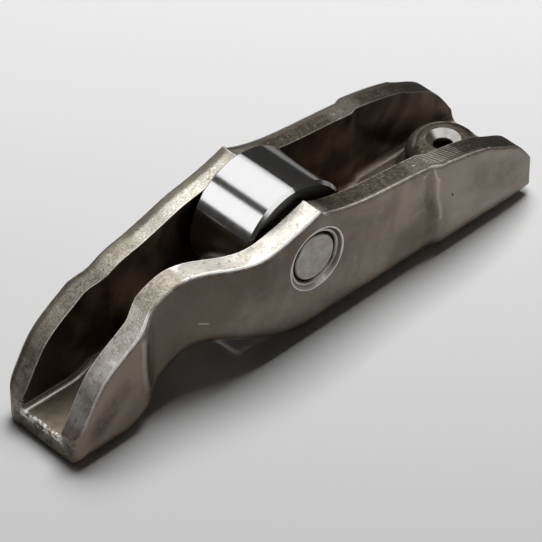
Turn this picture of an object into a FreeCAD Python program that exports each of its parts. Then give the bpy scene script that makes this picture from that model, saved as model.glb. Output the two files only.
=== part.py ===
import FreeCAD, Part
import math
import os

from FreeCAD import Vector

# Roller finger follower, pressed from one piece of sheet steel, with a needle roller on a staked axle.
# Millimetres. The origin is the centre of the pivot ball, x runs from the valve end to the pivot end,
# y runs across the arm and z is up, towards the cam.

# Places along the arm
roller_x = -25.2          # axle, measured from the pivot ball
pad_x = -52.9             # lowest line of the valve pad
nose_overhang = 2.6       # pad line to the front edge
end_overhang = 6.2        # pivot ball to the rear edge

# Sheet
wall = 2.65               # thickness of the side walls
floor = 2.4               # thickness of the floor
ball_height = 2.4         # ball centre above the underside of the floor

# Half widths of the outer faces
nose_half = 5.65
waist_half = 4.75
middle_half = 7.3
rear_half = 7.75
end_half = 7.5

# Places where the width changes, from the axle
shoulder_place = -21.9    # end of the wide valve end
waist_front = -19.2
waist_back = -16.6
flare_place = -6.0        # full width ahead of the roller
step_place = 16.8         # crease where the rear end gets wider
step_run = 0.5            # length of that crease, and what it adds per millimetre of widening
step_ease = 2.0
tuck_length = 5.0         # length over which the rear ends of the walls turn in
tuck_over = 1.0

# Underside, above or below the plane of the floor's underside
pad_drop = 1.5
pad_flat = 3.2            # pad line to the start of the rise into the arch
pad_crown = 20.0          # radius of the pad's face, seen from the side
arch_rise = 3.4
arch_front = -14.2        # from the axle
arch_back = -13.2
arch_foot = -0.8

# Outer and inner radius of the two long bends
body_bend = 2.3
inner_bend = 0.8

# Top edge. Heights are above the plane of the underside, drops are below the peak
lip_height = 1.8
nose_edge = [(1.7, 4.6), (3.5, 7.3), (7.7, 10.3), (13.1, 13.2)]       # from the front edge, height
saddle_edge = [(-14.0, 1.05), (-8.6, 1.85), (-4.2, 1.4)]              # from the axle, drop
peak_x = 0.6
peak_height = 14.5
peak_step = 0.35
rear_edge = [(4.4, 1.5), (9.0, 2.25), (14.5, 2.8), (19.6, 3.55)]      # from the axle, drop
crest_place = -0.9        # corner where the end slope begins, from the pivot ball
crest_height = 9.75
end_slope = [(1.2, 8.65), (3.3, 7.5), (4.9, 5.7)]                     # from the pivot ball, height
end_height = 3.7          # height of the rearmost point
end_bulge = (0.25, 0.3)   # middle of the curve below it, as shares of end_round and end_height
edge_roll = 0.4           # rounded outer edge along the top of the walls
end_round = 2.2           # how far the underside stops short of the rear edge
front_corner = 1.6
rear_corner = 1.5

# Axle, needles and roller
axle_height = 8.9         # axle above the plane of the underside
axle_radius = 3.2
axle_recess = 0.35        # end face below the outer face of the wall
stake_radius = 3.55       # rim of the countersink that the axle is staked into
stake_depth = 0.5
groove_radius = 2.75      # staking groove in the end of the axle
groove_depth = 0.35
groove_half = 0.3
fit_clearance = 0.01      # axle in the walls
needle_radius = 0.65
needle_play = 0.015       # each side of a needle, to the axle and to the roller
needle_spacing = 0.03     # least gap between neighbouring needles
needle_inset = 0.4        # needle end below the side of the roller
needle_chamfer = 0.12
roller_radius = 7.0
side_play = 0.55          # roller to the inner face of the wall
roller_chamfer = 0.35

# Window in the floor for the roller
window_play = 0.9
window_corner = 1.6

# Pivot socket
ball_radius = 2.6
dome_radius = 4.0
dome_height = 6.0         # flat crown of the dome above the plane of the underside
crown_flat = 2.3          # radius of the flat crown
dome_foot = 1.1           # bend radius between dome and floor
socket_mouth = 0.5        # chamfer at the mouth
oil_hole_radius = 1.1
oil_sink_radius = 1.85    # countersink of the oil hole, at the crown
oil_sink_depth = 0.7

floor_z = -ball_height
nose_x = pad_x - nose_overhang
end_x = end_overhang
axle_z = floor_z + axle_height
roller_width = 2 * (middle_half - wall - side_play)
needle_length = roller_width - 2 * needle_inset

# Cutting shapes run this far past the part, or by the overcut where they end near a face
clear = 3.0
overcut = 0.1
tiny = 0.01               # lengths below this count as none
tool_low = floor_z - pad_drop - clear
tool_height = 2 * peak_height
tool_half = 2 * rear_half


def smooth(x, start, stop):
    """Rises from 0 at start to 1 at stop, level at both ends."""
    t = min(max((x - start) / (stop - start), 0.0), 1.0)
    return t * t * (3.0 - 2.0 * t)


def plan_steps():
    """Places along the arm between which the half width goes from one value to the next."""
    step = roller_x + step_place
    step_length = step_run + step_ease * abs(rear_half - middle_half)
    return [(roller_x + shoulder_place, roller_x + waist_front, nose_half, waist_half),
            (roller_x + waist_back, roller_x + flare_place, waist_half, middle_half),
            (step - step_length / 2, step + step_length / 2, middle_half, rear_half),
            (end_x - tuck_length, end_x + tuck_over, rear_half, end_half)]


def underside_steps():
    """The same for the height of the underside: from the pad up into the arch and down to the floor."""
    pad_z = floor_z - pad_drop
    arch_z = floor_z + arch_rise
    return [(pad_x + pad_flat, roller_x + arch_front, pad_z, arch_z),
            (roller_x + arch_back, roller_x + arch_foot, arch_z, floor_z)]


def along(steps, x):
    """Value at x of a run of level stretches joined by s-curves."""
    value = steps[0][2]
    for start, stop, before, after in steps:
        value += (after - before) * smooth(x, start, stop)
    return value


def run_edges(steps, first_x, last_x, shift, point):
    """Edges of such a run from first_x to last_x; point turns x and the value into a place."""
    edges = []
    x = first_x
    for start, stop, before, after in steps:
        if start - x > tiny:
            edges.append(Part.makeLine(point(x, before + shift), point(start, before + shift)))
        third = (stop - start) / 3.0
        curve = Part.BezierCurve()
        curve.setPoles([point(start, before + shift), point(start + third, before + shift),
                        point(stop - third, after + shift), point(stop, after + shift)])
        edges.append(curve.toShape())
        x = stop
    if last_x - x > tiny:
        edges.append(Part.makeLine(point(x, steps[-1][3] + shift), point(last_x, steps[-1][3] + shift)))
    return edges


def channel_form(inset, lift, radius):
    """Bar with the arm's plan and underside and its two long lower corners rounded, longer than the arm."""
    first_x = nose_x - clear
    last_x = end_x + clear
    plan = []
    for side in (-1, 1):
        plan += run_edges(plan_steps(), first_x, last_x, -inset,
                          lambda x, half, side=side: Vector(x, side * half, tool_low))
    for x, half in ((first_x, nose_half - inset), (last_x, end_half - inset)):
        plan.append(Part.makeLine(Vector(x, -half, tool_low), Vector(x, half, tool_low)))
    bar = Part.Face(Part.Wire(Part.__sortEdges__(plan))).extrude(Vector(0, 0, tool_height))
    low = run_edges(underside_steps(), first_x - clear, last_x + clear, lift,
                    lambda x, z: Vector(x, -tool_half, z))
    start = low[0].Vertexes[0].Point
    stop = low[-1].Vertexes[1].Point
    top_start = Vector(start.x, start.y, tool_low + tool_height)
    top_stop = Vector(stop.x, stop.y, tool_low + tool_height)
    low += [Part.makeLine(stop, top_stop), Part.makeLine(top_stop, top_start),
            Part.makeLine(top_start, start)]
    bar = bar.common(Part.Face(Part.Wire(low)).extrude(Vector(0, 2 * tool_half, 0)))
    return bar.makeFillet(radius, [e for e in bar.Edges if is_lower_corner(e, lift)])


def places_on(edge):
    """Five places along an edge, from end to end."""
    first, last = edge.ParameterRange
    return [edge.valueAt(first + (last - first) * k / 4.0) for k in range(5)]


def is_lower_corner(edge, lift):
    """True for the long edges of the underside, which the bends follow."""
    places = places_on(edge)
    on_underside = all(abs(p.z - along(underside_steps(), p.x) - lift) < tiny for p in places)
    return on_underside and abs(places[0].x - places[-1].x) > tiny


def pad_relief():
    """What lies below the pad's rounded face, up to where the arch rises above it."""
    pad_z = floor_z - pad_drop
    length = nose_overhang + clear + 2 * pad_flat
    box = Part.makeBox(length, 2 * tool_half, 2 * pad_drop,
                       Vector(nose_x - clear, -tool_half, pad_z - pad_drop))
    face = Part.makeCylinder(pad_crown, 2 * tool_half, Vector(pad_x, -tool_half, pad_z + pad_crown),
                             Vector(0, 1, 0))
    return box.cut(face)


def spline(points):
    curve = Part.BSplineCurve()
    curve.interpolate(points)
    return curve.toShape()


def side_form():
    """Everything below the top edge and ahead of the rear end, seen from the side."""
    def at(x, height):
        return Vector(x, -tool_half, floor_z + height)
    front = [at(nose_x, lip_height)] + [at(nose_x + d, h) for d, h in nose_edge]
    front += [at(roller_x + d, peak_height - h) for d, h in saddle_edge] + [at(roller_x + peak_x, peak_height)]
    foot_of_step = at(roller_x + peak_x + peak_step, peak_height - peak_step)
    rear = [foot_of_step] + [at(roller_x + d, peak_height - h) for d, h in rear_edge]
    rear.append(at(crest_place, crest_height))
    slope = [rear[-1]] + [at(d, h) for d, h in end_slope] + [at(end_x, end_height)]
    end_foot = at(end_x - end_round, 0.0)
    middle = at(end_x - end_bulge[0] * end_round, end_bulge[1] * end_height)
    end_curve = Part.Arc(slope[-1], middle, end_foot)
    below = -pad_drop - clear
    edges = [spline(front), Part.makeLine(front[-1], foot_of_step), spline(rear), spline(slope),
             end_curve.toShape(),
             Part.makeLine(end_foot, at(end_x - end_round, below)),
             Part.makeLine(at(end_x - end_round, below), at(nose_x, below)),
             Part.makeLine(at(nose_x, below), front[0])]
    return Part.Face(Part.Wire(edges)).extrude(Vector(0, 2 * tool_half, 0))


def plan_corner(x, half, radius, toward, side):
    """What rounding takes off a corner in plan; x and side * half is the sharp corner."""
    centre = Vector(x - toward * radius, side * (half - radius), tool_low)
    size = radius + clear
    start = Vector(min(centre.x, centre.x + toward * size), min(centre.y, centre.y + side * size), tool_low)
    block = Part.makeBox(size, size, tool_height, start)
    return block.cut(Part.makeCylinder(radius, tool_height, centre))


def across(radius, length, x=roller_x, z=axle_z):
    """Cylinder across the arm, centred on its middle plane."""
    return Part.makeCylinder(radius, length, Vector(x, -length / 2, z), Vector(0, 1, 0))


def roller_window():
    length = 2 * (roller_radius + window_play)
    width = 2 * (middle_half - wall - inner_bend / 2)
    box = Part.makeBox(length, width, clear + axle_height,
                       Vector(roller_x - length / 2, -width / 2, floor_z - clear))
    corners = [e for e in box.Edges if abs(e.Vertexes[0].Z - e.Vertexes[1].Z) > tiny]
    return box.makeFillet(window_corner, corners)


def dome():
    """Raised cup of the pivot socket, turned about the ball's upright axis, with a flat crown."""
    crown_z = floor_z + dome_height
    floor_top = floor_z + floor
    shoulder = dome_radius - crown_flat
    k = shoulder * (1.0 - math.sqrt(0.5))
    j = dome_foot * (1.0 - math.sqrt(0.5))
    foot = dome_radius + dome_foot
    p = [Vector(0, 0, floor_z), Vector(0, 0, crown_z), Vector(crown_flat, 0, crown_z),
         Vector(dome_radius, 0, crown_z - shoulder), Vector(dome_radius, 0, floor_top + dome_foot),
         Vector(foot, 0, floor_top), Vector(foot, 0, floor_z)]
    edges = [Part.makeLine(p[0], p[1]), Part.makeLine(p[1], p[2]),
             Part.Arc(p[2], Vector(dome_radius - k, 0, crown_z - k), p[3]).toShape()]
    if p[3].z - p[4].z > tiny:
        edges.append(Part.makeLine(p[3], p[4]))
    edges += [Part.Arc(p[4], Vector(dome_radius + j, 0, floor_top + j), p[5]).toShape(),
              Part.makeLine(p[5], p[6]), Part.makeLine(p[6], p[0])]
    return Part.Face(Part.Wire(edges)).revolve(Vector(0, 0, 0), Vector(0, 0, 1), 360)


def socket():
    """Space inside the dome: a half ball over a straight throat with a chamfered mouth, and the oil hole."""
    ball = Part.makeSphere(ball_radius)
    throat = Part.makeCylinder(ball_radius, ball_height + clear, Vector(0, 0, floor_z - clear))
    mouth = Part.makeCone(ball_radius + socket_mouth + clear, ball_radius, socket_mouth + clear,
                          Vector(0, 0, floor_z - clear))
    oil = Part.makeCylinder(oil_hole_radius, tool_height)
    crown_z = floor_z + dome_height
    flare = (oil_sink_radius - oil_hole_radius) / oil_sink_depth
    sink = Part.makeCone(oil_hole_radius, oil_sink_radius + flare * clear, oil_sink_depth + clear,
                         Vector(0, 0, crown_z - oil_sink_depth))
    return ball.fuse([throat, mouth, oil, sink])


def lever_body():
    blank = channel_form(0.0, 0.0, body_bend).cut(pad_relief())
    body = blank.cut(channel_form(wall, floor, inner_bend))
    body = body.fuse(dome().common(blank)).common(side_form())
    for side in (-1, 1):
        body = body.cut(plan_corner(nose_x, nose_half, front_corner, -1, side))
        body = body.cut(plan_corner(end_x, along(plan_steps(), end_x), rear_corner, 1, side))
    body = body.makeFillet(edge_roll, top_outer_edges(body))
    cuts = [socket(), roller_window(), across(axle_radius + fit_clearance, 2 * tool_half)]
    for side in (-1, 1):
        face_y = side * middle_half
        sink = Part.makeCone(axle_radius + fit_clearance, stake_radius, stake_depth,
                             Vector(roller_x, face_y - side * stake_depth, axle_z), Vector(0, side, 0))
        cuts.append(sink)
    for tool in cuts:
        body = body.cut(tool)
    return body.removeSplitter()


def top_outer_edges(body):
    """Long edges between the outer faces and the top edge of the walls."""
    found = []
    for edge in body.Edges:
        places = places_on(edge)
        on_side = all(abs(abs(p.y) - along(plan_steps(), p.x)) < 2 * tiny for p in places)
        high = all(p.z > along(underside_steps(), p.x) + body_bend + edge_roll for p in places)
        if on_side and high and abs(places[0].x - places[-1].x) > edge_roll:
            found.append(edge)
    return found


def axle_pin():
    """Axle with a staking groove pressed into each end."""
    half = middle_half - axle_recess
    pin = across(axle_radius, 2 * half)
    for side in (-1, 1):
        def at(radius, inward):
            return Vector(roller_x + radius, side * (half - inward), axle_z)
        outline = Part.makePolygon([at(groove_radius - groove_half, -overcut),
                                    at(groove_radius, groove_depth),
                                    at(groove_radius + groove_half, -overcut),
                                    at(groove_radius - groove_half, -overcut)])
        axis = Vector(roller_x, 0, axle_z)
        pin = pin.cut(Part.Face(outline).revolve(axis, Vector(0, 1, 0), 360))
    return pin


def needle_count():
    pitch = 2 * math.pi * (axle_radius + needle_play + needle_radius)
    return int(pitch / (2 * needle_radius + needle_spacing))


def needle(angle):
    orbit = axle_radius + needle_play + needle_radius
    x = roller_x + orbit * math.cos(angle)
    z = axle_z + orbit * math.sin(angle)
    rod = across(needle_radius, needle_length, x, z)
    ends = [e for e in rod.Edges if e.Closed]
    return rod.makeChamfer(needle_chamfer, ends)


def roller_ring():
    bore = axle_radius + 2 * needle_play + 2 * needle_radius
    ring = across(roller_radius, roller_width)
    rims = [e for e in ring.Edges if e.Closed]
    ring = ring.makeChamfer(roller_chamfer, rims)
    return ring.cut(across(bore, roller_width + clear))


def main():
    os.makedirs("parts", exist_ok=True)
    pieces = {"lever_body": lever_body(), "axle_pin": axle_pin(), "roller_ring": roller_ring()}
    count = needle_count()
    for i in range(count):
        pieces["needle_%02d" % (i + 1)] = needle(2 * math.pi * i / count)
    for name, shape in pieces.items():
        if len(shape.Solids) == 1:
            shape = shape.Solids[0]
        shape.exportStep("parts/%s.step" % name)
        print(name, shape.isValid(), len(shape.Solids), "%.2f" % shape.Volume)


main()
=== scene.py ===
import math

import bpy
from mathutils import Matrix, Vector


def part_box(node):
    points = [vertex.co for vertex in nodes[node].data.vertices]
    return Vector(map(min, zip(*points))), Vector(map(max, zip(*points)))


# Looks of a pressed steel roller rocker arm. Metres, in the part's own frame: the pivot ball's centre is
# the origin, x runs from the valve end to the pivot end, y across the arm and z up.

# Colours of the sheet, linear
STEEL_DARK = (0.18, 0.148, 0.114)
STEEL_MID = (0.315, 0.268, 0.214)
STEEL_LIGHT = (0.47, 0.425, 0.365)
STEEL_WARM = (0.275, 0.215, 0.168)
STEEL_COOL = (0.345, 0.306, 0.265)
STEEL_BLACK = (0.060, 0.050, 0.042)
# INSIDE_DARK is painted shade on the inner faces, and the dark of the stains on the nose floor
INSIDE_DARK = (0.085, 0.064, 0.049)
INSIDE_BROWN = (0.27, 0.198, 0.142)
NOSE_FLOOR = (0.215, 0.188, 0.138)
SHEARED_DARK = (0.085, 0.074, 0.055)
SHEARED_BROWN = (0.027, 0.022, 0.014)
SHEARED_OLIVE = (0.250, 0.224, 0.180)
SHEARED_LIGHT = (0.46, 0.438, 0.380)
# EDGE_BRIGHT is the colour of painted highlights and painted glints, on the edges and burrs too
EDGE_BRIGHT = (0.84, 0.83, 0.79)

# Colours of the axle, the roller and the needles
PIN_DARK = (0.30, 0.285, 0.255)
PIN_GREY = (0.42, 0.40, 0.365)
ROLLER_BRIGHT = (0.90, 0.90, 0.90)
NEEDLE_BRIGHT = (0.75, 0.75, 0.74)
END_GREY = (0.16, 0.16, 0.155)
CHAMFER_WHITE = (1.0, 1.0, 1.0)

# Colours of the floor, near and far, the near one darker as painted light falloff, and of its far part as
# the steel mirrors it, painted dark as a painted reflection
FLOOR_NEAR = (0.605, 0.605, 0.61)
FLOOR_FAR = (0.86, 0.86, 0.86)
FLOOR_PAINTED_DARK_REFLECTION = (0.16, 0.16, 0.16)
ROOM_DARK = (0.030, 0.029, 0.028)

# Half width over the outer faces at the valve end, and each change of it: from x, to x, by
NOSE_HALF = 0.00565
WIDTHS = [(-0.0471, -0.0444, -0.0009), (-0.0418, -0.0312, 0.00255), (-0.0091, -0.0077, 0.00045)]

# Stretches along x: start, stop and the softness of both ends
NEAR_RAMP = (-0.0335, -0.0246, 0.0015)
FAR_HOLLOW = (-0.0385, -0.0262, 0.0020)
FAR_OUTER = (-0.0395, -0.0255, 0.0015)
REAR_CREST = (-0.0105, -0.0075, 0.0015)
NEAR_LINE = (-0.0245, -0.0020, 0.0010)
CUTTER_MARKS = (-0.0086, -0.0048, 0.0007)
REAR_FLOOR = (-0.0075, 0.0005, 0.0025)
RAMP_BURR_HIGHLIGHT = (-0.0400, -0.0245, 0.0010)
NOSE_BURR_HIGHLIGHT = (-0.0545, -0.0455, 0.0006)

# Fades along x: none at the first place, full at the second
DULL_NEAR = (-0.0245, -0.0225)
DULL_FAR = (-0.0235, -0.0195)
NOSE_STAIN = (-0.0430, -0.0490)
NOSE_BEND = (-0.0420, -0.0435)
FRONT_LIP = (-0.05505, -0.05525)
REAR_TIP = (0.0030, 0.0042)
SINK_REAR = (-0.0004, 0.0006)

# Fades in height
WALL_FOOT = (-0.0004, 0.0016)
FLOOR_TOP = (0.0030, 0.0020)
DOME_TOP = (0.0030, 0.0034)
SINK_FOOT = (0.0026, 0.0029)
LIP_FOOT = (-0.0024, -0.0019)

# Fades across the arm, and distances in from the outer face
NEAR_SIDE = (0.0005, -0.0005)
LIP_HALF = (0.0034, 0.0028)
WALL_INSIDE = (0.0030, 0.0027)
FLOOR_SIDE = (0.0022, 0.0027)
OUTER_PART = (0.0014, 0.0009)
OUTER_RIM = (0.0011, 0.0006)
LINE_PLACE = (0.00030, 0.00055, 0.00012)
CUTTER_WIDTH = (0.0009, 0.0027, 0.0004)

# Distances from the axle's or the pivot's centre line
COUNTERSINK_RIM = (0.00350, 0.00362, 0.00006)
STAKED_RIM = (0.00292, 0.00300)
STAKED_GROOVE = (0.00262, 0.00286, 0.00005)
DOME_SIDE = (0.0052, 0.0048)
SINK_SIDE = (0.00195, 0.00185)

# Fades by where a face looks, as a part of its normal
LOOKS_IN = (-0.10, -0.40)
LOOKS_UP = (0.2, 0.45)
LOOKS_UP_FLOOR = (0.2, 0.5)
LOOKS_FORWARD = (-0.78, -0.94)
NOT_SIDEWAYS = (0.45, 0.12)
NOT_FLAT = (0.95, 0.85)
END_FACE = (0.85, 0.97)
ROLLED_SIDE = (0.30, 0.90, 0.12)
ROLLED_CREST = (0.02, 0.46, 0.03)
ROLLED_RIDGE = (0.16, 0.62, 0.06)
BEND_UPPER = (0.42, 0.52, 0.08)
BEND_LOWER = (0.86, 0.93, 0.04)
BEND_SIDE = (-0.15, -0.30)
EDGE_TURN = (0.985, 0.85)    # cosine between the rounded and the true normal

# Noises: size of the blobs, detail, roughness and distortion
BLOTCH = (0.008, 4.0, 0.6, 0.4)
INSIDE_BLOB = (0.0052, 2.0, 0.5, 0.3)
MARK_WAVE = (0.004, 2.0)
CLOUD = (0.0026, 4.0, 0.65)
PATCHES = (0.0022, 3.0, 0.6)
MARK_PATCHINESS = (0.0016, 4.0, 0.7)
POLISH = (0.0016, 3.0, 0.6)
PIN_CLOUD = (0.0014, 4.0, 0.65)
CUTTER_WAVE = (0.0011, 2.0)
CRUST = (0.0009, 4.0, 0.75)
CRUSHED = (0.00075, 3.0, 0.8)
FINE = (0.0007, 3.0, 0.7)
COARSE = (0.00045, 3.0, 0.75)
PIN_RINGS = (0.00035, 2.0)
PITS = (0.00032, 2.0, 0.6)
SPECK = (0.00030, 3.0, 0.7)
GRAIN = (0.00022, 2.0, 0.7)
SPARK = (0.00020, 2.0, 0.75)

# Steps of those noises: none at the first value, full at the second, or between the last two instead
BLOTCH_STEP = (0.30, 0.66)
CLOUD_STEP = (0.50, 1.0)
STAIN_STEP = (0.42, 0.72, 0.0, 0.55)
INSIDE_STEP = (0.44, 0.70)
MARK_PATCHINESS_STEP = (0.38, 0.62)
PATCHES_STEP = (0.35, 0.65, 0.45, 1.0)
SPECK_STEP = (0.38, 0.66, 0.0, 0.32)
COARSE_STEP = (0.40, 0.66, 0.98, 0.80)
SPARK_STEP = (0.0, 0.10)
PITS_STEP = (0.60, 0.68)
CRUST_STEP = (0.40, 0.60)
CRUSHED_STEP = (0.46, 0.56)
ROLLED_STEP = (0.35, 0.6)
BURR_HIGHLIGHT_STEP = (0.30, 0.48)
BURR_HIGHLIGHT_LINE_STEP = (0.26, 0.42)
PIN_CLOUD_STEP = (0.3, 0.7)
PIN_RINGS_STEP = (0.45, 0.65)
RIB_STEP = (0.0, 0.8)

# How strongly a part of the look shows
RIM_SHARE = 0.9
REAR_FLOOR_SHARE = 0.75
RAMP_SHARE = 0.55
HOLLOW_SHARE = 0.95
CREST_SHARE = 0.2
GRAIN_HIGHLIGHT_SHARE = 0.55
SPARK_SHARE = 0.6
PITS_SHARE = 0.55
OUTER_PART_SHARE = 0.75
DARK_LINE_SHARE = 0.8
RIB_SHARE = 0.38
CRUST_SHARE = 0.65
REAR_TIP_SHARE = 0.8
BURR_HIGHLIGHT_LINE_SHARE = 0.95
BEND_UPPER_SHARE = 0.4
BEND_SHARE = 0.8
PIN_RINGS_SHARE = 0.20

# Slope and base of what one part of the look does to another
MARK_PATCHINESS_LINE = (0.5, 0.5)
ROLLED_LINE = (0.5, 0.3)
BURR_HIGHLIGHT_BOOST = (0.75, 0.22)
SPARK_LEVEL = (-0.13, 0.66)
GRAIN_DEPTH = (0.80, 0.14)
MATTE_METAL = (-0.85, 1.0)

# Reach of the softened normal that finds an edge
SHEET_EDGE = 0.00025
PIN_EDGE = 0.00014
POLISHED_EDGE = 0.00010
EDGE_SAMPLES = 8

# Tints and painted shade of the near side: fades along x, colour and strength
SIDE_TINTS_AND_SHADE = [
    ([(-0.0450, -0.0475)], STEEL_WARM, 0.7),
    ([(-0.0090, -0.0060)], STEEL_COOL, 0.55),
    # painted shade, darkest beside the arch and fading out towards the valve end and the pivot end
    ([(-0.0465, -0.0440), (-0.0080, -0.0380)], STEEL_BLACK, 0.62),
]

# Marks on the near side: two ends as x and z, half width, softness, colour and strength
SIDE_MARKS = [
    # blotches at the valve end, and a painted highlight and painted shade along the bend in the side face
    ((-0.0529, 0.0002), (-0.0500, 0.0024), 0.0003, 0.0016, STEEL_BLACK, 0.75),
    ((-0.0500, -0.0020), (-0.0470, 0.0010), 0.0002, 0.0020, STEEL_DARK, 0.6),
    ((-0.04645, 0.0012), (-0.04670, 0.0072), 0.00014, 0.0005, STEEL_LIGHT, 0.85),
    ((-0.04560, -0.0010), (-0.04590, 0.0062), 0.00012, 0.00045, STEEL_BLACK, 0.8),
    # crease near the pivot end: painted highlights along its edges and painted shade in its hollow
    ((-0.01030, 0.0084), (-0.00905, 0.0091), 0.00005, 0.00018, STEEL_LIGHT, 0.9),
    ((-0.00945, 0.0092), (-0.00925, 0.0012), 0.0004, 0.0007, STEEL_BLACK, 0.55),
    ((-0.00905, 0.0091), (-0.00825, 0.0072), 0.00004, 0.00014, STEEL_LIGHT, 0.9),
    ((-0.00825, 0.0072), (-0.00815, 0.0022), 0.00005, 0.00022, STEEL_LIGHT, 0.55),
    # nick and scratch
    ((-0.00632, 0.0045), (-0.00622, 0.0043), 0.00005, 0.00010, STEEL_BLACK, 1.0),
    ((-0.03920, 0.0050), (-0.03815, 0.0046), 0.00004, 0.00013, STEEL_LIGHT, 0.85),
    # soft patches
    ((-0.0030, 0.0046), (0.0024, 0.0024), 0.0010, 0.0014, STEEL_DARK, 0.55),
    ((-0.0060, 0.0010), (0.0020, -0.0010), 0.0003, 0.0008, STEEL_LIGHT, 0.35),
    # painted shade on the side beside the arch
    ((-0.0450, 0.0020), (-0.0360, 0.0040), 0.0020, 0.0030, STEEL_DARK, 0.55),
    ((-0.0370, -0.0005), (-0.0340, 0.0040), 0.0006, 0.0020, STEEL_LIGHT, 0.20),
    ((-0.0300, 0.0030), (-0.0150, 0.0005), 0.0006, 0.0020, STEEL_LIGHT, 0.22),
]
MARK_WANDER = 0.0012      # how far a mark's line wanders along x
PATCHY_HALF = 0.0002      # marks at least this wide are patchy

# Cutter marks: how fast their phase runs along x and y, and how much they waver
CUTTER_ALONG = 15000.0
CUTTER_ACROSS = 5000.0
CUTTER_WAVER = 7.0

# Gloss, and the strength and depth of the relief
SHEET_ROUGH = (0.3, 0.7, 0.40, 0.52)
BRIGHT_ROUGH = -0.20      # what a bright edge adds
PIN_ROUGH = 0.42
POLISHED_ROUGH = (0.35, 0.70, 0.12, 0.17)
POLISH_STRETCH = (1.0, 9.0, 1.0)
END_FACE_ROUGH = 0.22     # what an end face adds
FLOOR_ROUGH = 0.9
FLOOR_SHINE = 0.1
SHEET_RELIEF = (0.30, 0.00012)
PIN_RELIEF = (0.2, 0.0001)

# Camera: where it stands, how it is turned and its lens
CAMERA_AZIMUTH = 43.18
CAMERA_HEIGHT_ANGLE = 40.65
CAMERA_ROLL = -0.22
CAMERA_DISTANCE = 0.4069
CAMERA_SIDE = -0.00039
CAMERA_UP = 0.00247
CAMERA_NEAREST = 0.01
AIM_Z = -0.0029
LENS_SHARE = 7.373
SENSOR = 36.0

# Floor. The arm touches it at the valve pad and at the underside of the pivot end, which lies higher.
FLOOR_SIZE = 3.0
FLOOR_GAP = 0.00002
PAD_X = -0.0529
HEEL_X = 0.0040
PAD_DROP = 0.0015
DEPTH_DIRECTION = (0.684, 0.729)
FLOOR_PALER = (-0.06, 0.12)
FLOOR_MIRRORED = (0.02, 0.06)

# Lamps: long panels round the arm, at one distance from the axle. Degrees from +x, degrees wide, radiance.
PANEL_DISTANCE = 0.5
PANEL_LENGTH = 0.56
PANEL_MIDDLE = 0.24      # to the arm's far side
LAMP_KEY = {"turn": 70.0, "width": 36.0, "radiance": 10.5, "middle": 0.10, "length": 0.28}
LAMP_OVER = {"turn": 71.5, "width": 73.0, "radiance": 3.55}
LAMP_FRONT = {"turn": 138.0, "width": 34.0, "radiance": 1.0}
LAMP_FILL = {"turn": 90.0, "width": 80.0, "radiance": 0.9, "middle": -0.50}
LAMP_ROLLER = {"turn": 82.0, "width": 52.0, "radiance": 0.97}

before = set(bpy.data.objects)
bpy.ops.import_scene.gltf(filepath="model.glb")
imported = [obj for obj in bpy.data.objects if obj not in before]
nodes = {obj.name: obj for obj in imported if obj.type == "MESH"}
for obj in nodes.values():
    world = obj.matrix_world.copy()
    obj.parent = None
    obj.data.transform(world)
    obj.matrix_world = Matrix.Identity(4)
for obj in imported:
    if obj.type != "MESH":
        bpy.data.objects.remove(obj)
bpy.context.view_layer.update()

rest_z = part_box("lever_body")[0][2]
axle_low, axle_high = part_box("axle_pin")
axle_x = (axle_low[0] + axle_high[0]) / 2
axle_z = (axle_low[2] + axle_high[2]) / 2
needle_nodes = [name for name in nodes if name.startswith("needle_")]


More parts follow.
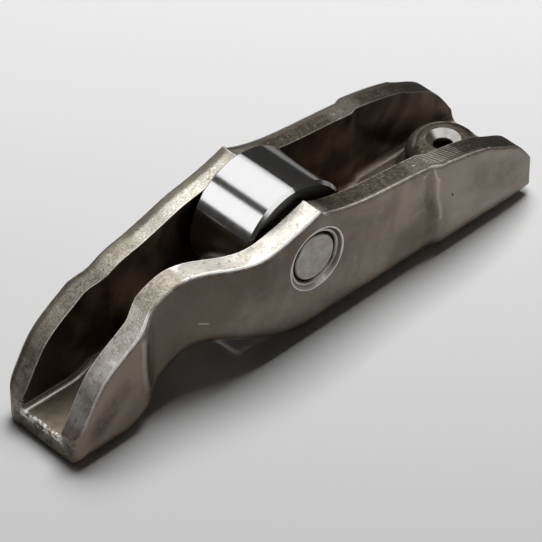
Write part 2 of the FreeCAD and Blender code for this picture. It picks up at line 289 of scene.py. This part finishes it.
class Tree:
    """A material, and a short way to add and join its shader nodes."""

    def __init__(self, name):
        self.material = bpy.data.materials.new(name)
        self.material.use_nodes = True
        self.tree = self.material.node_tree
        self.tree.nodes.clear()

    def fill(self, socket, value):
        """Joins a node's output to the socket, or sets the socket to a number or colour."""
        if hasattr(value, "is_output"):
            self.tree.links.new(value, socket)
        else:
            socket.default_value = value

    def add(self, kind, inputs=None, **settings):
        node = self.tree.nodes.new(kind)
        for name, value in settings.items():
            setattr(node, name, value)
        for name, value in (inputs or {}).items():
            self.fill(node.inputs[name], value)
        return node

    def math(self, operation, a, b=0.0, c=0.0, clamp=False):
        node = self.add("ShaderNodeMath", {0: a, 1: b, 2: c}, operation=operation, use_clamp=clamp)
        return node.outputs[0]

    def product(self, *values):
        result = values[0]
        for value in values[1:]:
            result = self.math("MULTIPLY", result, value)
        return result

    def most(self, *values):
        result = values[0]
        for value in values[1:]:
            result = self.math("MAXIMUM", result, value)
        return result

    def line(self, value, slope, base):
        """slope * value + base."""
        return self.math("MULTIPLY_ADD", value, slope, base)

    def distance(self, a, b):
        """Length of the vector with the parts a and b."""
        return self.math("SQRT", self.math("ADD", self.product(a, a), self.product(b, b)))

    def spread(self, value, low, high, to_low=0.0, to_high=1.0):
        """Smooth step of value between low and high."""
        node = self.add("ShaderNodeMapRange", {"Value": value, "From Min": low, "From Max": high,
                                               "To Min": to_low, "To Max": to_high},
                        interpolation_type="SMOOTHSTEP")
        return node.outputs["Result"]

    def between(self, value, low, high, soft):
        """1 from low to high, falling to 0 over soft on both sides."""
        rise = self.spread(value, low - soft, low)
        fall = self.spread(value, high, high + soft, 1.0, 0.0)
        return self.product(rise, fall)

    def mix(self, share, a, b):
        """Colour between a and b."""
        node = self.add("ShaderNodeMix", {0: share}, data_type="RGBA", clamp_factor=True)
        for socket, colour in ((node.inputs[6], a), (node.inputs[7], b)):
            self.fill(socket, colour + (1.0,) if isinstance(colour, tuple) else colour)
        return node.outputs[2]

    def noise(self, place, size, detail, roughness=0.55, distortion=0.0):
        """Noise whose blobs are about size metres across."""
        node = self.add("ShaderNodeTexNoise", {"Vector": place, "Scale": 1.0 / size, "Detail": detail,
                                               "Roughness": roughness, "Distortion": distortion})
        return node.outputs["Fac"]

    def spots(self, place, noise, step):
        """Noise seen through a step."""
        return self.spread(self.noise(place, *noise), *step)

    def bump(self, height, strength, distance):
        node = self.add("ShaderNodeBump", {"Strength": strength, "Distance": distance, "Height": height})
        return node.outputs[0]

    def finish(self, inputs):
        """Ends the tree in a principled shader with these inputs, and returns the material."""
        shader = self.add("ShaderNodeBsdfPrincipled", inputs)
        self.add("ShaderNodeOutputMaterial", {"Surface": shader.outputs[0]})
        return self.material


def object_place(t):
    """Place in the object's own frame, its parts, and the parts of the normal."""
    coordinates = t.add("ShaderNodeTexCoord")
    place = coordinates.outputs["Object"]
    p = t.add("ShaderNodeSeparateXYZ", {0: place}).outputs
    n = t.add("ShaderNodeSeparateXYZ", {0: coordinates.outputs["Normal"]}).outputs
    return place, p, n


def edge_mask(t, radius):
    """About 1 on a sharp edge and 0 on a flat face."""
    bevel = t.add("ShaderNodeBevel", {"Radius": radius}, samples=EDGE_SAMPLES)
    geometry = t.add("ShaderNodeNewGeometry")
    dot = t.add("ShaderNodeVectorMath", {0: bevel.outputs["Normal"], 1: geometry.outputs["Normal"]},
                operation="DOT_PRODUCT")
    return t.spread(dot.outputs["Value"], *EDGE_TURN)


def outer_distance(t, p):
    """Distance in from the outer face of the nearer wall."""
    half = NOSE_HALF
    for start, stop, change in WIDTHS:
        half = t.math("ADD", half, t.spread(p["X"], start, stop, 0.0, change))
    return t.math("SUBTRACT", half, t.math("ABSOLUTE", p["Y"]))


def axle_distance(t, p):
    """Distance from the axle's centre line."""
    return t.distance(t.math("SUBTRACT", p["X"], axle_x), t.math("SUBTRACT", p["Z"], axle_z))


class Sheet:
    """Places, directions and noises that the parts of the pressed sheet's look share."""

    def __init__(self, t):
        self.place, self.p, self.n = object_place(t)
        self.near = t.spread(self.p["Y"], *NEAR_SIDE)
        self.far = t.math("SUBTRACT", 1.0, self.near)
        self.inward = outer_distance(t, self.p)
        self.reach = t.distance(self.p["X"], self.p["Y"])
        # above 0 on a face that looks away from the middle plane
        self.facing = t.product(t.math("SIGN", self.p["Y"]), self.n["Y"])
        self.above = t.spread(self.p["Z"], *WALL_FOOT)
        self.upward = t.spread(self.n["Z"], *LOOKS_UP)
        self.front = t.spread(self.n["X"], *LOOKS_FORWARD)
        self.cloud = t.noise(self.place, *CLOUD)
        self.fine = t.noise(self.place, *FINE)


def plain_colour(t, s):
    """Blotched colour of the whole sheet."""
    colour = t.mix(t.spots(s.place, BLOTCH, BLOTCH_STEP), STEEL_DARK, STEEL_MID)
    return t.mix(t.spread(s.cloud, *CLOUD_STEP), colour, STEEL_LIGHT)


def side_tints_and_shade(t, s, colour):
    """Warmer valve end, cooler pivot end and, between them, painted shade that darkens the near side most
    beside the arch.
    """
    for fades, tone, strength in SIDE_TINTS_AND_SHADE:
        share = t.product(s.near, strength, *[t.spread(s.p["X"], *fade) for fade in fades])
        colour = t.mix(share, colour, tone)
    return colour


def stroke(t, x, z, start, stop, half, soft):
    """Line on a side face between two places, given as x and z."""
    length = math.hypot(stop[0] - start[0], stop[1] - start[1])
    ux, uz = (stop[0] - start[0]) / length, (stop[1] - start[1]) / length
    dx = t.math("SUBTRACT", x, start[0])
    dz = t.math("SUBTRACT", z, start[1])
    along = t.line(dx, ux, t.product(dz, uz))
    across = t.math("ABSOLUTE", t.line(dx, -uz, t.product(dz, ux)))
    return t.product(t.spread(across, half, half + soft, 1.0, 0.0), t.between(along, 0.0, length, 2 * soft))


def side_marks(t, s, colour):
    """Blotches, a nick, a scratch and soft patches on the near side, with painted highlights and painted
    shade along its bends and beside the arch.
    """
    x = t.line(t.noise(s.place, *MARK_WAVE), MARK_WANDER, t.math("SUBTRACT", s.p["X"], MARK_WANDER / 2))
    patchiness = t.line(t.spots(s.place, MARK_PATCHINESS, MARK_PATCHINESS_STEP), *MARK_PATCHINESS_LINE)
    for start, stop, half, soft, tone, strength in SIDE_MARKS:
        mark = t.product(s.near, strength, stroke(t, x, s.p["Z"], start, stop, half, soft))
        if half >= PATCHY_HALF:
            mark = t.product(mark, patchiness)
        colour = t.mix(mark, colour, tone)
    return colour


def countersink_rim(t, s, colour):
    """Rim of the countersink round the axle, painted bright as a painted highlight."""
    rim = t.between(axle_distance(t, s.p), *COUNTERSINK_RIM)
    return t.mix(t.product(rim, RIM_SHARE), colour, EDGE_BRIGHT)


def inner_faces_shaded(t, s, colour):
    """Inner faces, which look towards the middle plane, and the floor between them, painted dark as painted
    shade over brown blotches; the floor is lighter at the valve end, with dark stains, and towards the
    pivot end.
    """
    floor = t.product(t.spread(s.inward, *FLOOR_SIDE), t.spread(s.p["Z"], *FLOOR_TOP),
                      t.spread(s.n["Z"], *LOOKS_UP_FLOOR))
    inner = t.most(t.spread(s.facing, *LOOKS_IN), floor)
    inside_shade = t.mix(t.spots(s.place, INSIDE_BLOB, INSIDE_STEP), INSIDE_DARK, INSIDE_BROWN)
    stain = t.mix(t.spread(s.cloud, *STAIN_STEP), NOSE_FLOOR, INSIDE_DARK)
    inside_shade = t.mix(t.product(floor, t.spread(s.p["X"], *NOSE_STAIN)), inside_shade, stain)
    # the floor towards the pivot end is spared the painted shade
    rear = t.product(floor, t.between(s.p["X"], *REAR_FLOOR), REAR_FLOOR_SHARE)
    inside_shade = t.mix(rear, inside_shade, STEEL_MID)
    return t.mix(inner, colour, inside_shade)


def sheared_mask(t, s):
    """1 on the cut edges of the walls, the dome's crown and the front face."""
    not_sideways = t.spread(t.math("ABSOLUTE", s.n["Y"]), *NOT_SIDEWAYS)
    in_wall = t.spread(s.inward, *WALL_INSIDE)
    on_dome = t.product(t.spread(s.reach, *DOME_SIDE), t.spread(s.p["Z"], *DOME_TOP))
    return t.most(t.product(not_sideways, s.above, t.most(in_wall, on_dome)), s.front)


def sheared_ground(t, s):
    """Olive and brown ground of the cut edges, duller from the roller to the pivot end."""
    colour = t.mix(t.spots(s.place, PATCHES, PATCHES_STEP), SHEARED_DARK, SHEARED_OLIVE)
    colour = t.mix(t.spots(s.place, SPECK, SPECK_STEP), colour, SHEARED_LIGHT)
    dull = t.most(t.product(s.near, t.spread(s.p["X"], *DULL_NEAR)), t.spread(s.p["X"], *DULL_FAR))
    return t.mix(t.product(dull, t.spots(s.place, COARSE, COARSE_STEP)), colour, SHEARED_BROWN)


def sheared_sparkle(t, s, colour):
    """Lighter grain as a painted highlight, strongest on the near ramp and in the far hollow, painted
    glints, and dark pits.
    """
    ramp = t.product(s.near, t.between(s.p["X"], *NEAR_RAMP), RAMP_SHARE)
    hollow = t.product(s.far, t.between(s.p["X"], *FAR_HOLLOW), HOLLOW_SHARE)
    crest = t.product(t.between(s.p["X"], *REAR_CREST), CREST_SHARE)
    bright = t.most(ramp, hollow, crest)
    # painted highlight: the real grain is painted lighter where the top faces catch the light
    colour = t.mix(t.product(bright, GRAIN_HIGHLIGHT_SHARE), colour, SHEARED_LIGHT)
    spark = t.math("SUBTRACT", t.noise(s.place, *SPARK), t.line(bright, *SPARK_LEVEL))
    # painted glints
    colour = t.mix(t.product(t.spread(spark, *SPARK_STEP), SPARK_SHARE), colour, EDGE_BRIGHT)
    return t.mix(t.product(t.spots(s.place, PITS, PITS_STEP), PITS_SHARE), colour, SHEARED_BROWN)


def sheared_painted_shade(t, s, colour):
    """Painted shade: darker outer part of the far wall's edge, and a thin dark line along the near one."""
    outer = t.product(s.far, t.spread(s.inward, *OUTER_PART), t.between(s.p["X"], *FAR_OUTER))
    colour = t.mix(t.product(outer, OUTER_PART_SHARE), colour, SHEARED_BROWN)
    rim = t.product(s.far, t.spread(s.inward, *OUTER_RIM))
    line = t.product(s.near, t.between(s.inward, *LINE_PLACE), t.between(s.p["X"], *NEAR_LINE))
    return t.mix(t.product(t.most(rim, line), DARK_LINE_SHARE), colour, SHEARED_DARK)


def cutter_marks(t, s, colour):
    """Fine light ribs across the near wall's edge."""
    phase = t.line(s.p["X"], CUTTER_ALONG, t.product(s.p["Y"], CUTTER_ACROSS))
    phase = t.line(t.noise(s.place, *CUTTER_WAVE), CUTTER_WAVER, phase)
    ribs = t.product(t.spread(t.math("SINE", phase), *RIB_STEP), s.near, t.between(s.inward, *CUTTER_WIDTH),
                     t.between(s.p["X"], *CUTTER_MARKS))
    return t.mix(t.product(ribs, RIB_SHARE), colour, SHEARED_LIGHT)


def sheared_faces(t, s, sheared, colour):
    """Cut edges of the sheet, with crust on the front face and a dark rear tip."""
    cut = sheared_ground(t, s)
    cut = sheared_sparkle(t, s, cut)
    cut = sheared_painted_shade(t, s, cut)
    cut = cutter_marks(t, s, cut)
    colour = t.mix(sheared, colour, cut)
    crust = t.product(s.front, t.spots(s.place, CRUST, CRUST_STEP), CRUST_SHARE)
    colour = t.mix(crust, colour, SHEARED_BROWN)
    tip = t.product(sheared, t.spread(s.p["X"], *REAR_TIP), REAR_TIP_SHARE)
    return t.mix(tip, colour, SHEARED_BROWN)


def oil_sink(t, s):
    """1 in the countersink of the oil hole."""
    return t.product(t.spread(s.reach, *SINK_SIDE), t.spread(s.n["Z"], *NOT_FLAT),
                     t.spread(s.p["Z"], *SINK_FOOT))


def rolled_edge_highlight(t, s, colour):
    """Rounded outer edge along the top of the walls, painted lighter as a painted highlight."""
    rolled = t.product(t.between(s.facing, *ROLLED_SIDE), s.above, s.upward)
    patchiness = t.line(t.spread(s.fine, *ROLLED_STEP), *ROLLED_LINE)
    return t.mix(t.product(rolled, patchiness), colour, STEEL_LIGHT)


def burrs_and_highlights(t, s):
    """Bright edges of the sheet and the unbroken burr lines: real edges and burrs, painted bright as
    painted highlights, the lines so that they show from all sides.
    """
    edge = edge_mask(t, SHEET_EDGE)
    stretch = t.most(t.between(s.p["X"], *RAMP_BURR_HIGHLIGHT), t.between(s.p["X"], *NOSE_BURR_HIGHLIGHT))
    crest = t.product(t.between(s.facing, *ROLLED_CREST), s.above, s.upward, s.near, stretch)
    bright = t.product(t.most(edge, crest), t.spread(s.fine, *BURR_HIGHLIGHT_STEP), t.line(stretch, *BURR_HIGHLIGHT_BOOST))
    ridge = t.product(t.between(s.facing, *ROLLED_RIDGE), s.above, s.near)
    lines = t.most(t.product(edge, s.above), ridge)
    lines = t.product(lines, stretch, t.spread(s.fine, *BURR_HIGHLIGHT_LINE_STEP), BURR_HIGHLIGHT_LINE_SHARE)
    return bright, lines


def bend_highlights(t, s):
    """Two painted highlights along the bend between the far wall and the floor, at the valve end."""
    upper = t.product(t.between(s.n["Z"], *BEND_UPPER), BEND_UPPER_SHARE)
    lower = t.between(s.n["Z"], *BEND_LOWER)
    return t.product(t.most(upper, lower), t.spread(s.facing, *BEND_SIDE),
                     t.spread(s.p["X"], *NOSE_BEND), BEND_SHARE)


def crushed_lip_glints(t, s):
    """Crushed upper edge of the front face, its grain painted with glints."""
    return t.product(t.spread(s.p["X"], *FRONT_LIP), t.spread(s.p["Z"], *LIP_FOOT),
                     t.spread(t.math("ABSOLUTE", s.p["Y"]), *LIP_HALF),
                     t.spots(s.place, CRUSHED, CRUSHED_STEP))


def pressed_steel():
    """Blanked and pressed sheet: blotched faces, grainy sheared edges, burrs and edges painted bright as
    painted highlights, and painted shade on the inner faces and along some edges.
    """
    t = Tree("pressed_steel")
    s = Sheet(t)
    colour = plain_colour(t, s)
    colour = side_tints_and_shade(t, s, colour)
    colour = side_marks(t, s, colour)
    colour = countersink_rim(t, s, colour)
    colour = inner_faces_shaded(t, s, colour)
    sheared = sheared_mask(t, s)
    colour = sheared_faces(t, s, sheared, colour)
    sunk = oil_sink(t, s)
    # painted shade in the countersink of the oil hole
    colour = t.mix(sunk, colour, STEEL_DARK)
    colour = rolled_edge_highlight(t, s, colour)
    bright, burr_highlight_lines = burrs_and_highlights(t, s)
    # painted highlight on the rear part of the countersink
    sink_highlight = t.product(sunk, t.spread(s.p["X"], *SINK_REAR))
    # painted highlights, white and matte
    matte_highlights = t.most(sink_highlight, bend_highlights(t, s), crushed_lip_glints(t, s), burr_highlight_lines)
    bright = t.most(bright, matte_highlights)
    colour = t.mix(bright, colour, EDGE_BRIGHT)
    rough = t.line(bright, BRIGHT_ROUGH, t.spread(s.cloud, *SHEET_ROUGH))
    relief = t.line(t.noise(s.place, *GRAIN), t.line(sheared, *GRAIN_DEPTH), s.fine)
    metal = t.math("MULTIPLY_ADD", matte_highlights, *MATTE_METAL, clamp=True)
    return t.finish({"Base Color": colour, "Metallic": metal, "Roughness": rough,
                     "Normal": t.bump(relief, *SHEET_RELIEF)})


def axle_steel():
    """Turned and staked end of the axle: lighter raised rim, edges painted light as a painted highlight,
    and the staking groove painted black as painted shade.
    """
    t = Tree("axle_steel")
    place, p, _ = object_place(t)
    cloud = t.noise(place, *PIN_CLOUD)
    reach = axle_distance(t, p)
    rings = t.noise(t.add("ShaderNodeCombineXYZ", {0: reach}).outputs[0], *PIN_RINGS)
    colour = t.mix(t.spread(cloud, *PIN_CLOUD_STEP), PIN_DARK, PIN_GREY)
    colour = t.mix(t.product(t.spread(rings, *PIN_RINGS_STEP), PIN_RINGS_SHARE), colour, STEEL_DARK)
    # lighter raised rim, and a painted highlight on the edges
    colour = t.mix(t.most(t.spread(reach, *STAKED_RIM), edge_mask(t, PIN_EDGE)), colour, STEEL_LIGHT)
    # painted shade in the staking groove
    colour = t.mix(t.between(reach, *STAKED_GROOVE), colour, STEEL_BLACK)
    return t.finish({"Base Color": colour, "Metallic": 1.0, "Roughness": PIN_ROUGH,
                     "Normal": t.bump(cloud, *PIN_RELIEF)})


def polished_steel(name, base):
    """Ground and polished surface with faint marks around it, duller, darker end faces, and chamfers
    painted white as a painted highlight.
    """
    t = Tree(name)
    place, _, n = object_place(t)
    stretched = t.add("ShaderNodeMapping", {"Vector": place, "Scale": POLISH_STRETCH}).outputs[0]
    end_face = t.spread(t.math("ABSOLUTE", n["Y"]), *END_FACE)
    marks = t.spots(stretched, POLISH, POLISHED_ROUGH)
    colour = t.mix(end_face, base, END_GREY)
    # painted highlight on the chamfers
    colour = t.mix(edge_mask(t, POLISHED_EDGE), colour, CHAMFER_WHITE)
    rough = t.line(end_face, END_FACE_ROUGH, marks)
    return t.finish({"Base Color": colour, "Metallic": 1.0, "Roughness": rough})


def give(material, *names):
    """Puts the material on CAD nodes."""
    for name in names:
        slots = nodes[name].material_slots
        if not slots:
            nodes[name].data.materials.append(material)
        for slot in slots:
            slot.material = material


def paper():
    """Pale sheet, darker towards the camera as painted light falloff, and painted dark far off in
    reflections only, as a painted reflection.
    """
    t = Tree("paper")
    _, p, _ = object_place(t)
    depth = t.math("ADD", *[t.product(p[axis], share) for axis, share in zip("XY", DEPTH_DIRECTION)])
    # painted light falloff: the floor darkens towards the camera
    colour = t.mix(t.spread(depth, *FLOOR_PALER), FLOOR_NEAR, FLOOR_FAR)
    mirrored = t.math("SUBTRACT", 1.0, t.add("ShaderNodeLightPath").outputs["Is Camera Ray"])
    # painted reflection: the far floor is dark where the steel mirrors it, and pale where the camera sees
    # it
    colour = t.mix(t.product(t.spread(depth, *FLOOR_MIRRORED), mirrored), colour, FLOOR_PAINTED_DARK_REFLECTION)
    return t.finish({"Base Color": colour, "Roughness": FLOOR_ROUGH, "Specular IOR Level": FLOOR_SHINE})


def paper_floor():
    """Large sheet under the arm, tilted so that it touches both the pad and the pivot end."""
    bpy.ops.mesh.primitive_plane_add(size=FLOOR_SIZE)
    floor = bpy.context.object
    floor.name = "paper"
    pad = Vector((PAD_X, 0.0, rest_z))
    heel = Vector((HEEL_X, 0.0, rest_z + PAD_DROP))
    along = (heel - pad).normalized()
    across = Vector((0.0, 1.0, 0.0))
    up = along.cross(across).normalized()
    turn = Matrix((along, across, up)).transposed().to_4x4()
    floor.matrix_world = Matrix.Translation(pad - up * FLOOR_GAP) @ turn
    floor.data.materials.append(paper())


def panel(name, turn, width, radiance, middle=PANEL_MIDDLE, length=PANEL_LENGTH):
    """Soft lamp along the arm's y axis, turned about it from +x by so many degrees, and so many wide."""
    angle = math.radians(turn)
    toward = Vector((math.cos(angle), 0.0, math.sin(angle)))
    across = Vector((0.0, 1.0, 0.0))
    lamp = bpy.data.lights.new(name, "AREA")
    lamp.shape = "RECTANGLE"
    lamp.size = 2 * PANEL_DISTANCE * math.tan(math.radians(width / 2))
    lamp.size_y = length
    lamp.energy = math.pi * lamp.size * lamp.size_y * radiance
    item = bpy.data.objects.new(name, lamp)
    place = Vector((axle_x, middle, axle_z)) + toward * PANEL_DISTANCE
    turned = Matrix((across.cross(toward), across, toward)).transposed().to_4x4()
    item.matrix_world = Matrix.Translation(place) @ turned
    bpy.context.scene.collection.objects.link(item)
    return item


def light_only(lamp, names, state):
    """Lets a lamp light only the named CAD nodes, or all but them."""
    group = bpy.data.collections.new(lamp.name + "_nodes")
    for name in names:
        group.objects.link(nodes[name])
    for entry in group.collection_objects:
        entry.light_linking.link_state = state
    lamp.light_linking.receiver_collection = group


def room():
    """Dark room round the lamps."""
    world = bpy.data.worlds.new("room")
    bpy.context.scene.world = world
    world.use_nodes = True
    back = world.node_tree.nodes["Background"]
    back.inputs["Color"].default_value = ROOM_DARK + (1.0,)
    back.inputs["Strength"].default_value = 1.0


def studio():
    """One lamp overhead for the floor and its shadow, and four long ones that the steel reflects."""
    key = panel("lamp_key", **LAMP_KEY)
    key.visible_glossy = False
    over = panel("lamp_over", **LAMP_OVER)
    front = panel("lamp_front", **LAMP_FRONT)
    fill = panel("lamp_fill", **LAMP_FILL)
    over_roller = panel("lamp_roller", **LAMP_ROLLER)
    polished = ["roller_ring"] + needle_nodes
    light_only(over, polished, "EXCLUDE")
    light_only(over_roller, polished, "INCLUDE")
    for item in (over, front, fill, over_roller):
        item.visible_diffuse = False


def camera():
    """Long lens, looking down along the arm from its near side."""
    azimuth = math.radians(CAMERA_AZIMUTH)
    height = math.radians(CAMERA_HEIGHT_ANGLE)
    roll = math.radians(CAMERA_ROLL)
    level = Vector((math.sin(azimuth), math.cos(azimuth), 0.0))
    right = Vector((math.cos(azimuth), -math.sin(azimuth), 0.0))
    forward = level * math.cos(height) - Vector((0.0, 0.0, math.sin(height)))
    up = level * math.sin(height) + Vector((0.0, 0.0, math.cos(height)))
    right_turned = right * math.cos(roll) + up * math.sin(roll)
    up_turned = up * math.cos(roll) - right * math.sin(roll)
    aim = Vector((axle_x, 0.0, AIM_Z))
    place = aim - forward * CAMERA_DISTANCE - right_turned * CAMERA_SIDE + up_turned * CAMERA_UP
    lens = bpy.data.cameras.new("camera")
    lens.sensor_width = SENSOR
    lens.lens = SENSOR * LENS_SHARE
    lens.clip_start = CAMERA_NEAREST
    item = bpy.data.objects.new("camera", lens)
    turned = Matrix((right_turned, up_turned, -forward)).transposed().to_4x4()
    item.matrix_world = Matrix.Translation(place) @ turned
    bpy.context.scene.collection.objects.link(item)
    bpy.context.scene.camera = item


give(pressed_steel(), "lever_body")
give(axle_steel(), "axle_pin")
give(polished_steel("roller_steel", ROLLER_BRIGHT), "roller_ring")
give(polished_steel("needle_steel", NEEDLE_BRIGHT), *needle_nodes)
paper_floor()
studio()
room()
camera()

scene = bpy.context.scene
scene.view_settings.view_transform = "Standard"
